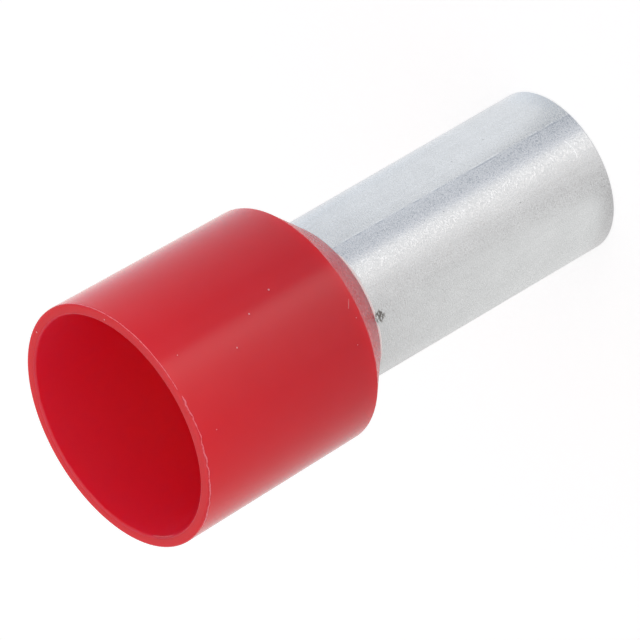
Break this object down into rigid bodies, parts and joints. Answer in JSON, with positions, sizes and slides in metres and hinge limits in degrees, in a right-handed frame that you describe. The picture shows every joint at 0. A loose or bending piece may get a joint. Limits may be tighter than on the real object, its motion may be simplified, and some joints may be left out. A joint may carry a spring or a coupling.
{
  "type": "insulated wire ferrule",
  "caption": "Insulated wire ferrule: a thin tinned tube with a belled inner end, seated in a larger red moulded collar that opens like a cup.",
  "frame": {"origin": "centre of the sleeve's open end, on the surface that the ferrule stands on", "axes": "+Z along the common axis of the sleeve and the collar, towards the collar's mouth; X and Y are free, because the part is round"},
  "size_m": [0.0134, 0.0134, 0.03],
  "materials": {
    "red_polypropylene": "moulded, satin gloss on the barrel and a fine spark-eroded matt on the shoulder",
    "tinned_copper": "satin tin plating over drawn copper tube"
  },
  "bodies": {
    "root": {"insulating_collar": "red_polypropylene", "conductor_sleeve": "tinned_copper"}
  },
  "joints": []
}
